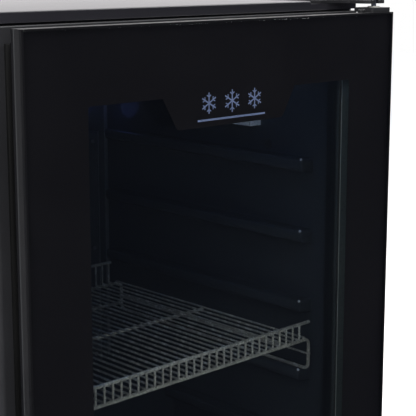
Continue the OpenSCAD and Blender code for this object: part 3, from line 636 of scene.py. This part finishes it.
def make_evaporator_cover(material):
    """Folded sheet with round front corners, a fan guard and a row of intake slots."""
    half, front, back, high, r, steps = 224, 225, TUB_BACK, 655, 3.5, 4
    left = [(-half, back)] + arc(-half + r, front + r, r, 180, 270, steps)
    right = arc(half - r, front + r, r, 270, 360, steps) + [(half, back)]
    shape = bmesh.new()
    low_left, high_left, low_right, high_right = (
        [shape.verts.new(mm(x, y, z)) for x, y in side]
        for side in (left, right) for z in (STEP_TOP, high))
    bridge(shape, low_left, high_left, closed=False)
    bridge(shape, low_right, high_right, closed=False)
    lid = shape.faces.new(high_left + high_right)
    sheet = [shape.edges.new((low_left[-1], low_right[0])),
             shape.edges.get((low_right[0], high_right[0])),
             shape.edges.get((high_right[0], high_left[-1])),
             shape.edges.get((high_left[-1], low_left[-1]))]
    for line in guard_slots(FAN_Z) + intake_slots(STEP_TOP + 18):
        verts = [shape.verts.new(mm(x, front, z)) for x, z in line]
        sheet += [shape.edges.new(pair) for pair in zip(verts, verts[1:] + verts[:1])]
    bmesh.ops.triangle_fill(shape, edges=sheet, use_beauty=True, normal=(0, -1, 0))
    up = Vector((0, 0, 1))
    orient(shape, lid, up)
    bevel_edges(shape, [e for e in lid.edges if len(e.link_faces) == 2], 1.5, 2)
    orient(shape, max(shape.faces, key=lambda f: f.calc_center_median().z), up)
    bmesh.ops.solidify(shape, geom=shape.faces[:], thickness=1.5 * MM)
    piece("evaporator_cover_sheet", shape, "cabinet", material,
          ["evaporator_cover"])


# ---- Door print -----------------------------------------------------------------------

# Millimetres: the printed border's width, the tab's half width at its top and foot, its drop
BORDER = 85
TAB_TOP, TAB_FOOT, TAB_DROP = 109.5, 91, 38


def window_outline():
    """Clear window of the front glass, with the printed tab hanging from its top edge."""
    r, tab_r, lean, side = 3, 8, 65, HALF_W - BORDER
    low, high = DOOR_LOW + BORDER, DOOR_HIGH - BORDER
    foot = high - TAB_DROP
    points = arc(-side + r, low + r, r, 180, 270, 4) + arc(side - r, low + r, r, 270, 360, 4)
    points += arc(side - r, high - r, r, 0, 90, 4)
    points += [(TAB_TOP, high)]
    points += arc(TAB_FOOT - tab_r, foot + tab_r, tab_r, 270 + lean, 270, 5)
    points += arc(-TAB_FOOT + tab_r, foot + tab_r, tab_r, 270, 270 - lean, 5)
    points += [(-TAB_TOP, high)]
    points += arc(-side + r, high - r, r, 90, 180, 4)
    return points


def make_door_print(material):
    """Black border printed on the back of the front glass."""
    inset, depth = 2.9, 3.9
    x, low, high = HALF_W - inset, DOOR_LOW + inset, DOOR_HIGH - inset
    shape = bmesh.new()
    for line in ([(-x, low), (x, low), (x, high), (-x, high)], window_outline()):
        verts = [shape.verts.new(mm(x, DOOR_FRONT + depth, z)) for x, z in line]
        for pair in zip(verts, verts[1:] + verts[:1]):
            shape.edges.new(pair)
    bmesh.ops.triangle_fill(shape, edges=list(shape.edges), use_beauty=True)
    thicken(shape, 0.25)
    piece("door_glass_print", shape, "door", material)


def flake_bars(cx, cz, size):
    """Bars of a six-armed snow crystal: centre x and z, half length, half thickness, angle."""
    bars, arm = [], size / 2
    for k in range(6):
        a = math.radians(60 * k + 90)
        bars.append((cx + arm * 0.5 * math.cos(a), cz + arm * 0.5 * math.sin(a), arm * 0.5,
                     0.85, a))
        fork_x, fork_z = cx + arm * 0.58 * math.cos(a), cz + arm * 0.58 * math.sin(a)
        for side in (-1, 1):
            b = a + side * math.radians(55)
            bars.append((fork_x + arm * 0.15 * math.cos(b), fork_z + arm * 0.15 * math.sin(b),
                         arm * 0.17, 0.65, b))
    return bars


def make_door_motif(material):
    """Generic snow crystals over a bar, printed in the tab. No two crossing bars share a depth."""
    bars = [(0, 750, 56, 1.15, 0.0)]
    for x, size in ((-38, 25), (0, 27), (38, 25)):
        bars += flake_bars(x, 769.5, size)
    shape = bmesh.new()
    for order, (x, z, half, thick, a) in enumerate(bars):
        c, s = math.cos(a), math.sin(a)
        y = DOOR_FRONT + 3.55 - 0.004 * (order % 18)
        shape.faces.new([
            shape.verts.new(mm(x + dx * c - dz * s, y, z + dx * s + dz * c))
            for dx, dz in ((-half, -thick), (half, -thick), (half, thick), (-half, thick))])
    thicken(shape, 0.12)
    piece("door_print_motif", shape, "door", material)


# ---- Seals and small parts ------------------------------------------------------------

def sweep_ring(shape, profile):
    """Closed ring round the door: profile holds (inset, depth) points in millimetres."""
    loops = []
    for side, top in ((-1, 0), (1, 0), (1, 1), (-1, 1)):
        loops.append([shape.verts.new(mm(side * (HALF_W - inset), DOOR_FRONT + depth,
                                         DOOR_HIGH - inset if top else DOOR_LOW + inset))
                      for inset, depth in profile])
    for a, b in zip(loops, loops[1:] + loops[:1]):
        bridge(shape, a, b)


def make_gasket(material):
    """Magnetic gasket: foot, bellows and a rounded sealing bulb, mitred at the corners."""
    middle = 26
    foot = [(22.3, 45), (22.3, 41.4), (25.7, 41.4), (25.7, 45)]
    half = [(7.2, 45), (8, 45.8), (7.6, 47.2), (4.6, 48.6), (2.9, 49.6), (4.8, 50.8),
            (2.9, 52.0), (4.8, 53.2), (7.2, 54.2), (8, 55.4), (8, 57.6), (7, 58.8)]
    profile = foot + [(middle + u, depth) for u, depth in half]
    profile += [(middle - u, depth) for u, depth in reversed(half)]
    shape = bmesh.new()
    sweep_ring(shape, profile)
    piece("door_gasket_bellows", shape, "door", material, ["door_gasket"],
          sharp=50)


def add_bead(shape, place, r, squash=(1, 1, 1)):
    made = bmesh.ops.create_icosphere(shape, subdivisions=2, radius=r * MM)["verts"]
    bmesh.ops.scale(shape, vec=squash, verts=made)
    bmesh.ops.translate(shape, vec=place, verts=made)


def make_weld_beads(material):
    """Weld nuggets under the coating where the shelf's wires cross its rails and posts."""
    count, pitch, rail_x, post_x = 33, 13.5, 230, 240
    front, mid, back, deck_z = -226.5, -16, 192, 404.1
    shape = bmesh.new()
    for i in range(count):
        x = (i - (count - 1) / 2) * pitch
        for y in (front, mid, back):
            add_bead(shape, mm(x, y, deck_z), 2.3, (0.95, 1.15, 0.8))
        add_bead(shape, mm(x, front - 2, 427), 2.0, (1.0, 0.9, 1.1))
        add_bead(shape, mm(x, back + 2, 440), 2.0, (1.0, 0.9, 1.1))
    for side in (-1, 1):
        for y in (front, back):
            add_bead(shape, mm(side * post_x, y, 379.6), 3.4, (1, 1, 0.9))
            add_bead(shape, mm(side * rail_x, y, deck_z), 2.6, (1, 1.1, 0.9))
        add_bead(shape, mm(side * post_x, back + 3, 366), 3.3)
    piece("shelf_weld_beads", shape, "shelf", material, sharp=80)


def make_ledge_pips(material):
    """Small white domes at each ledge's front, a painted highlight for the glint on the ledge tips.
    """
    shape = bmesh.new()
    for top in LEDGE_TOPS:
        for x in (-231.8, 231.8):
            # White domes placed as painted highlights at the ledge tips.
            add_bead(shape, mm(x, -214.5, top), 1.9)
    piece("ledge_highlight_pips", shape, "cabinet", material, sharp=80)


def add_screw(shape, place, axis, r, high=2.2):
    """Pan-head screw with a cross recess, its head standing on place along axis."""
    steps, rings = 20, ((1.0, 0.0), (1.0, 0.45), (0.86, 0.8), (0.55, 1.0))
    turn = Vector((0, 0, 1)).rotation_difference(Vector(axis)).to_matrix().to_4x4()
    seat = Matrix.Translation(place) @ turn
    loops = [[shape.verts.new(seat @ mm(x, y, high * up))
              for x, y in arc(0, 0, r * share, 0, 360, steps)[:-1]] for share, up in rings]
    for a, b in zip(loops, loops[1:]):
        bridge(shape, a, b)
    shape.faces.new(loops[0][::-1])
    arm, half, deep = 0.46 * r, 0.12 * r, 0.45 * high
    cross, quarter = [], [(half, half), (half, arm), (-half, arm)]
    for _ in range(4):
        cross += quarter
        quarter = [(-y, x) for x, y in quarter]
    rim = [shape.verts.new(seat @ mm(x, y, high)) for x, y in cross]
    pit = [shape.verts.new(seat @ mm(x * 0.7, y * 0.7, high - deep)) for x, y in cross]
    bridge(shape, rim, pit)
    shape.faces.new(pit)
    edges = [shape.edges.get(pair) for loop in (loops[-1], rim)
             for pair in zip(loop, loop[1:] + loop[:1])]
    bmesh.ops.triangle_fill(shape, edges=edges, use_beauty=True)


def make_screws(name, places, axis, material, r):
    """Screws of the cabinet with head radius r, at millimetre places."""
    shape = bmesh.new()
    for place in places:
        add_screw(shape, mm(*place), axis, r)
    piece(name, shape, "cabinet", material, sharp=28)


def make_dial_marks(material):
    """Raised dots round the thermostat knob, growing towards the cold end."""
    knob_y, knob_z, face_x, r = -5, 722, 233, 24
    shape = bmesh.new()
    for i, (y, z) in enumerate(arc(knob_y, knob_z, r, -135, 135, 6)):
        made = bmesh.ops.create_uvsphere(shape, u_segments=12, v_segments=8,
                                         radius=(1.2 + 0.22 * i) * MM)["verts"]
        bmesh.ops.scale(shape, vec=(0.3, 1, 1), verts=made)
        bmesh.ops.translate(shape, vec=mm(face_x, y, z), verts=made)
    piece("thermostat_scale", shape, "cabinet", material, sharp=80)


def make_pieces(materials):
    """Builds each piece that stands in for a CAD node or adds to the CAD."""
    ink = surface("glass_ink", (0.0060, 0.0052, 0.0068), 0.5, grain=700, depth=0.05,
                  specular=0.2)
    motif = surface("motif_ink", (0.14, 0.18, 0.32), 0.5, grain=900, depth=0.05, tone=0.1)
    steel = materials["screw_steel"]
    rear = [(x, 300, z) for x in (-285, -95, 95, 285) for z in (238, 850)]
    rear += [(x, 300, z) for x in (-285, 285) for z in (540, 700)]
    rear += [(x, 300, z) for x in (-285, -90, 60, 285) for z in (40, 214)]
    cover = [(x, 225, z) for x in (-210, 210) for z in (275, 460, 640)]
    grille = [(x, -259, 58) for x in (-228, 213)]
    make_top_cover(materials["cover_plastic"])
    make_door_print(ink)
    make_door_motif(motif)
    make_liner(materials["liner_plastic"])
    make_evaporator_cover(materials["cover_sheet"])
    make_gasket(materials["gasket_rubber"])
    make_weld_beads(materials["shelf_wire"])
    make_ledge_pips(materials["white_plastic"])
    make_screws("rear_screws", rear, (0, 1, 0), steel, 4)
    make_screws("evaporator_cover_screws", cover, (0, -1, 0), steel, 3.4)
    make_screws("kick_grille_screws", grille, (0, -1, 0), steel, 3)
    make_dial_marks(materials["black_plastic"])


# CAD nodes shown as they are, with the rounding of their edges in millimetres
SOFTENED = {
    "front_frame": 1.1, "kick_grille": 0.5, "left_side_panel": 0.3, "right_side_panel": 0.3,
    "rear_panel": 0.3, "rear_grille": 0.3, "base_pan": 0.4, "top_hinge_bracket": 0.6,
    "bottom_hinge_bracket": 0.6, "door_outer_frame": 0.7, "door_inner_frame": 1.2,
    "door_outer_glass": 0.9, "door_inner_glass": 0.4, "door_top_plate": 0.7,
    "door_bottom_plate": 0.6, "control_housing": 1.6, "led_housing": 0.6,
    "condenser_shroud": 0.4, "drain_pan": 0.5, "compressor_terminal_box": 1.5,
    "light_switch_rocker": 0.5, "thermostat_knob": 0.4,
}


make_camera()
make_world()
make_stage()
make_lights()
MATERIALS = make_materials()
dress_cad(MATERIALS)
for softened, width in SOFTENED.items():
    soften(softened, width)
make_pieces(MATERIALS)
